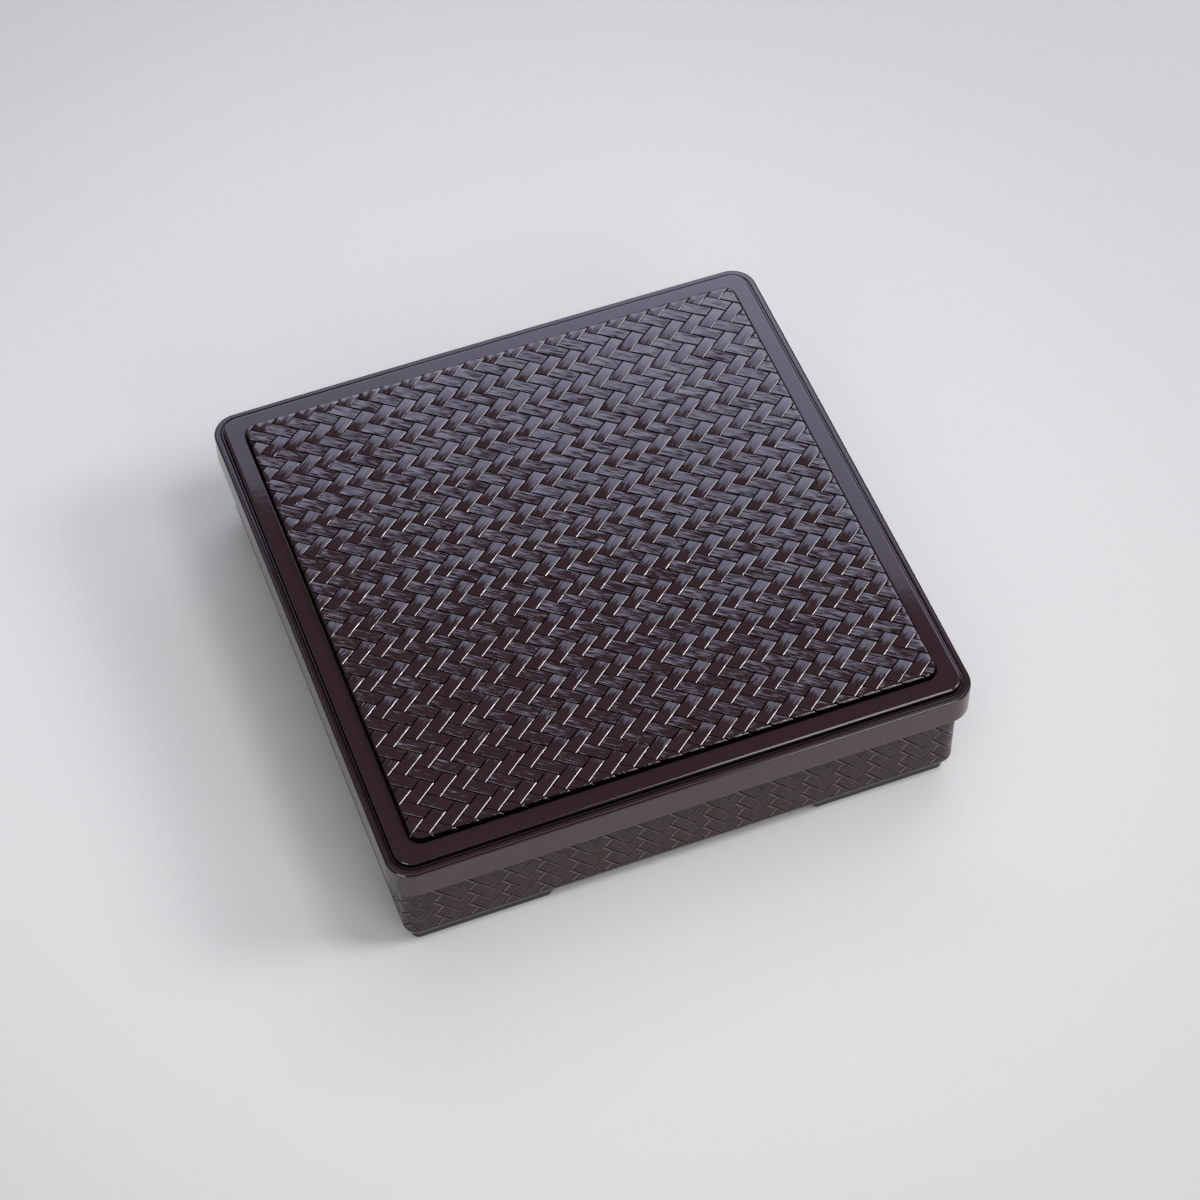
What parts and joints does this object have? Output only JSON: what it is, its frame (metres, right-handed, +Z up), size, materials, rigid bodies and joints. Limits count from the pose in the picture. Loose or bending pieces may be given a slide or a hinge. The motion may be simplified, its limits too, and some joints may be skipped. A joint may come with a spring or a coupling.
{
  "type": "bento box",
  "caption": "Low square lacquered bento box with an overlapping lid, a raised woven-relief panel, a cut-out foot ring and a removable half-lapped cross.",
  "frame": {"origin": "middle of the foot ring's underside, on the table", "axes": "+Z up through the lid, +X to the right and -Y towards the front, square with the walls"},
  "size_m": [0.24, 0.24, 0.062],
  "materials": {
    "tame_lacquer": "gloss tame-nuri lacquer over moulded resin, deep wine brown that reads nearly black",
    "wall_lacquer": "the same wine brown lacquer over the woven relief, with a black inside, floor and foot ring",
    "black_lacquer": "soft gloss black lacquer"
  },
  "bodies": {
    "box": {"box_body": "wall_lacquer"},
    "long_divider": {"long_divider": "black_lacquer"},
    "cross_divider": {"cross_divider": "black_lacquer"},
    "lid": {"lid": "tame_lacquer"}
  },
  "joints": [
    {"name": "long_divider_lift", "type": "slide", "parent": "box", "child": "long_divider", "axis": [0, 0, 1], "range_m": [0, 0.06]},
    {"name": "cross_divider_lift", "type": "slide", "parent": "long_divider", "child": "cross_divider", "axis": [0, 0, 1], "range_m": [0, 0.06]},
    {"name": "lid_lift", "type": "slide", "parent": "cross_divider", "child": "lid", "axis": [0, 0, 1], "range_m": [0, 0.1]}
  ]
}
